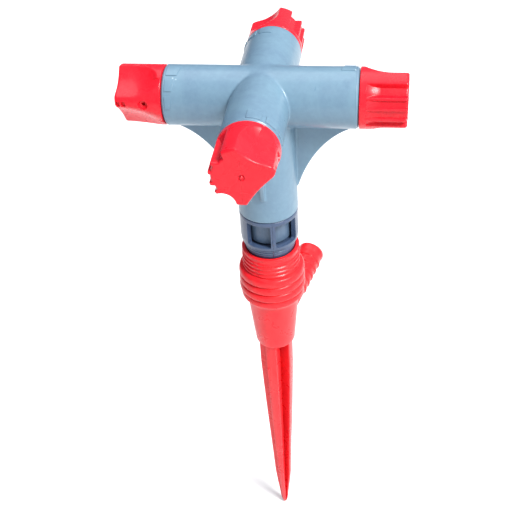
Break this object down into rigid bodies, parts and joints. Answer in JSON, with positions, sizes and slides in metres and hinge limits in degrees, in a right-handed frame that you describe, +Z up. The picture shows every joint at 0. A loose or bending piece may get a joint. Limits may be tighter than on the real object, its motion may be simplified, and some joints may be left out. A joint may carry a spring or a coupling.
{
  "type": "rotary sprinkler",
  "caption": "Rotary lawn sprinkler: a cross of hollow arms with turning pattern caps, spinning on a windowed swivel above a ribbed socket, hose stub and ground spike.",
  "frame": {"origin": "on the spin axis at soil level, 4.4 mm under the cone, where the blades of the spike go into the ground", "axes": "+Z up along the spin axis, +X and +Y along two of the arms at rest, -Y towards the viewer"},
  "size_m": [0.1422, 0.1422, 0.3494],
  "materials": {
    "arm_plastic": "satin blue-grey moulded plastic",
    "cage_plastic": "satin dark navy moulded plastic",
    "core_plastic": "blue-grey moulded plastic",
    "cap_plastic": "glossy red moulded plastic",
    "spike_plastic": "glossy red moulded plastic",
    "bearing_plastic": "natural white acetal",
    "washer_plastic": "black acetal",
    "seal_rubber": "black nitrile rubber",
    "clip_steel": "bright stainless spring steel"
  },
  "bodies": {
    "base": {"spike_base": "spike_plastic", "swivel_cage": "cage_plastic", "swivel_core": "core_plastic", "spindle": "bearing_plastic", "inlet_gasket": "seal_rubber", "lower_washer": "washer_plastic", "upper_washer": "washer_plastic", "spindle_clip": "clip_steel"},
    "rotor": {"rotor_body": "arm_plastic", "spindle_seal": "seal_rubber", "cap_spigot_right": "bearing_plastic", "cap_spigot_back": "bearing_plastic", "cap_spigot_left": "bearing_plastic", "cap_spigot_front": "bearing_plastic", "cap_seal_right": "seal_rubber", "cap_seal_back": "seal_rubber", "cap_seal_left": "seal_rubber", "cap_seal_front": "seal_rubber"},
    "cap_right": {"spray_cap_right": "cap_plastic"},
    "cap_back": {"spray_cap_back": "cap_plastic"},
    "cap_left": {"spray_cap_left": "cap_plastic"},
    "cap_front": {"spray_cap_front": "cap_plastic"}
  },
  "joints": [
    {"name": "rotor_spin", "type": "hinge", "parent": "base", "child": "rotor", "pos_m": [0, 0, 0.1], "axis": [0, 0, 1], "continuous": true},
    {"name": "cap_turn_right", "type": "hinge", "parent": "rotor", "child": "cap_right", "pos_m": [0.052, 0, 0.169], "axis": [1, 0, 0], "continuous": true},
    {"name": "cap_turn_back", "type": "hinge", "parent": "rotor", "child": "cap_back", "pos_m": [0, 0.052, 0.169], "axis": [0, 1, 0], "continuous": true},
    {"name": "cap_turn_left", "type": "hinge", "parent": "rotor", "child": "cap_left", "pos_m": [-0.052, 0, 0.169], "axis": [-1, 0, 0], "continuous": true},
    {"name": "cap_turn_front", "type": "hinge", "parent": "rotor", "child": "cap_front", "pos_m": [0, -0.052, 0.169], "axis": [0, -1, 0], "continuous": true}
  ]
}
